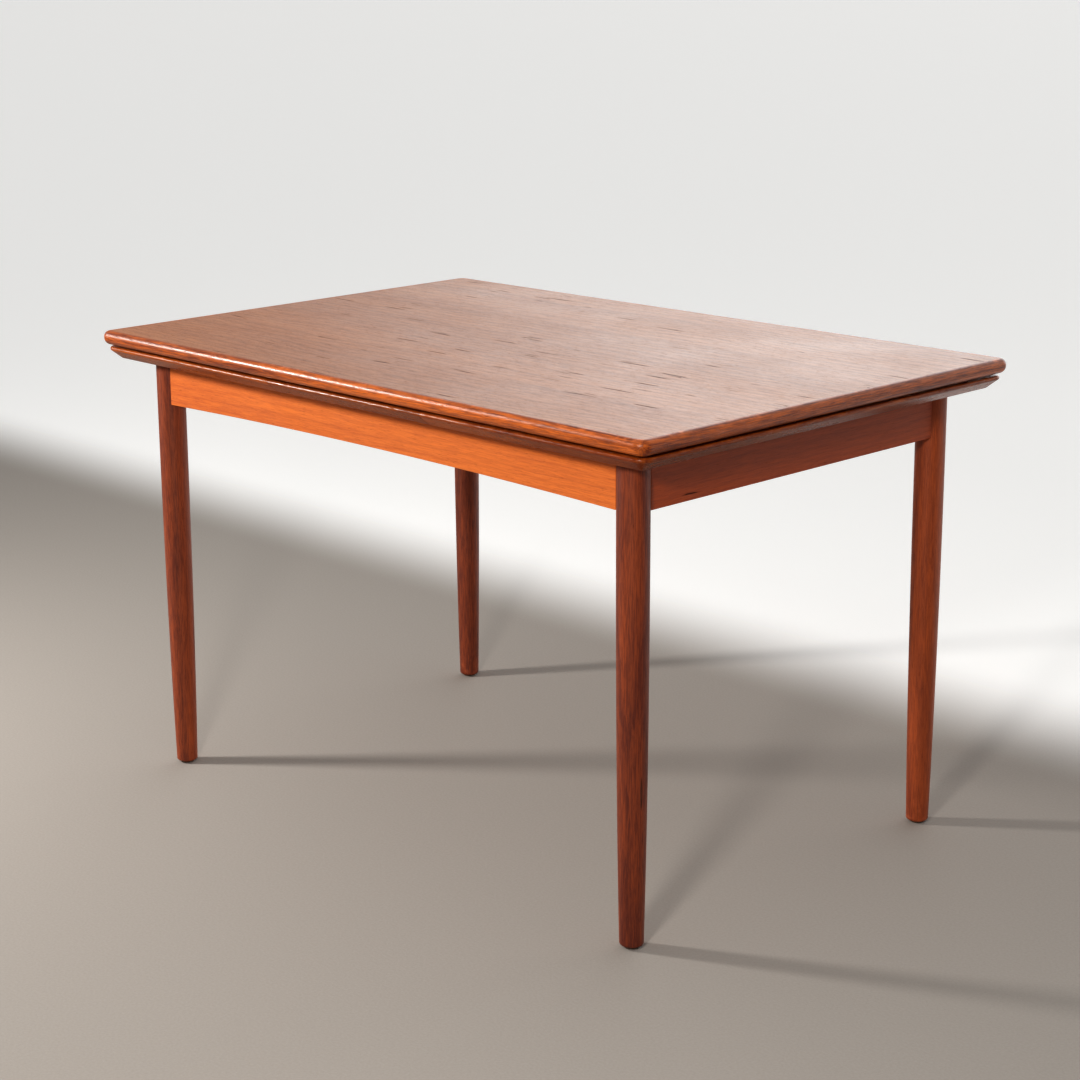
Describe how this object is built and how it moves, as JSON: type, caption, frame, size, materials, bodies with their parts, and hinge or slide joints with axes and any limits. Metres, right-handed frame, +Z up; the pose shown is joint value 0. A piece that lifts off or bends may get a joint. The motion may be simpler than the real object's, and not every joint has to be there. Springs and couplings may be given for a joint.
{
  "type": "draw-leaf dining table",
  "caption": "Rectangular teak dining table with a loose top, round tapered legs and two draw leaves on sloping runners that pull out from under the ends.",
  "frame": {"origin": "on the floor under the middle of the table", "axes": "+X along the table towards the right leaf, +Y from the front long side to the back, +Z up"},
  "size_m": [1.2, 0.8, 0.735],
  "materials": {
    "teak_veneer": "oiled teak veneer, straight grain along the table, soft satin sheen",
    "teak_lipping": "oiled solid teak edges, rounded, satin",
    "teak_frame": "oiled teak aprons, grain along each apron, satin",
    "teak_leg": "turned solid teak legs, grain upright, satin",
    "beech": "plain planed hardwood of the hidden works, matt",
    "zinc_steel": "zinc-plated bolts and screws",
    "felt": "dark green felt",
    "glide_plastic": "brown moulded glide"
  },
  "bodies": {
    "base": {"leg_front_left": "teak_leg", "leg_front_right": "teak_leg", "leg_back_left": "teak_leg", "leg_back_right": "teak_leg", "foot_glide_front_left": "glide_plastic", "foot_glide_front_right": "glide_plastic", "foot_glide_back_left": "glide_plastic", "foot_glide_back_right": "glide_plastic", "apron_front": "teak_frame", "apron_back": "teak_frame", "apron_left": "teak_frame", "apron_right": "teak_frame", "corner_block_front_left": "beech", "corner_block_front_right": "beech", "corner_block_back_left": "beech", "corner_block_back_right": "beech", "leg_bolt_front_left": "zinc_steel", "leg_bolt_front_right": "zinc_steel", "leg_bolt_back_left": "zinc_steel", "leg_bolt_back_right": "zinc_steel", "cross_rail_left": "beech", "cross_rail_right": "beech", "centre_board": "teak_veneer", "centre_board_lipping_front": "teak_lipping", "centre_board_lipping_back": "teak_lipping", "board_screw_front_left": "zinc_steel", "board_screw_front_right": "zinc_steel", "board_screw_back_left": "zinc_steel", "board_screw_back_right": "zinc_steel", "felt_pad_front_left": "felt", "felt_pad_front_right": "felt", "felt_pad_back_left": "felt", "felt_pad_back_right": "felt"},
    "leaf_left": {"leaf_left_panel": "teak_veneer", "leaf_left_end_lipping": "teak_lipping", "leaf_left_front_lipping": "teak_lipping", "leaf_left_back_lipping": "teak_lipping", "leaf_left_runner_front": "beech", "leaf_left_runner_back": "beech", "leaf_left_stop_front": "beech", "leaf_left_stop_back": "beech"},
    "leaf_right": {"leaf_right_panel": "teak_veneer", "leaf_right_end_lipping": "teak_lipping", "leaf_right_front_lipping": "teak_lipping", "leaf_right_back_lipping": "teak_lipping", "leaf_right_runner_front": "beech", "leaf_right_runner_back": "beech", "leaf_right_stop_front": "beech", "leaf_right_stop_back": "beech"},
    "guide_pegs": {"guide_peg_front": "beech", "guide_peg_back": "beech"},
    "main_top": {"top_panel": "teak_veneer", "top_lipping_front": "teak_lipping", "top_lipping_back": "teak_lipping", "top_lipping_left": "teak_lipping", "top_lipping_right": "teak_lipping"}
  },
  "joints": [
    {"name": "leaf_left_draw", "type": "slide", "parent": "base", "child": "leaf_left", "axis": [-0.9983, 0, 0.058], "range_m": [0, 0.4307]},
    {"name": "leaf_right_draw", "type": "slide", "parent": "base", "child": "leaf_right", "axis": [0.9983, 0, 0.058], "range_m": [0, 0.4307]},
    {"name": "top_lift_left_end", "type": "hinge", "parent": "base", "child": "guide_pegs", "pos_m": [0.6, 0, 0.713], "axis": [0, 1, 0], "range_deg": [0, 1.25]},
    {"name": "top_lift_right_end", "type": "hinge", "parent": "guide_pegs", "child": "main_top", "pos_m": [-0.6, 0, 0.713], "axis": [0, -1, 0], "range_deg": [0, 1.25]}
  ],
  "couplings": [
    {"joint": "top_lift_left_end", "follows": "leaf_left_draw", "rad_per_m": 0.048},
    {"joint": "top_lift_right_end", "follows": "leaf_right_draw", "rad_per_m": 0.048}
  ]
}
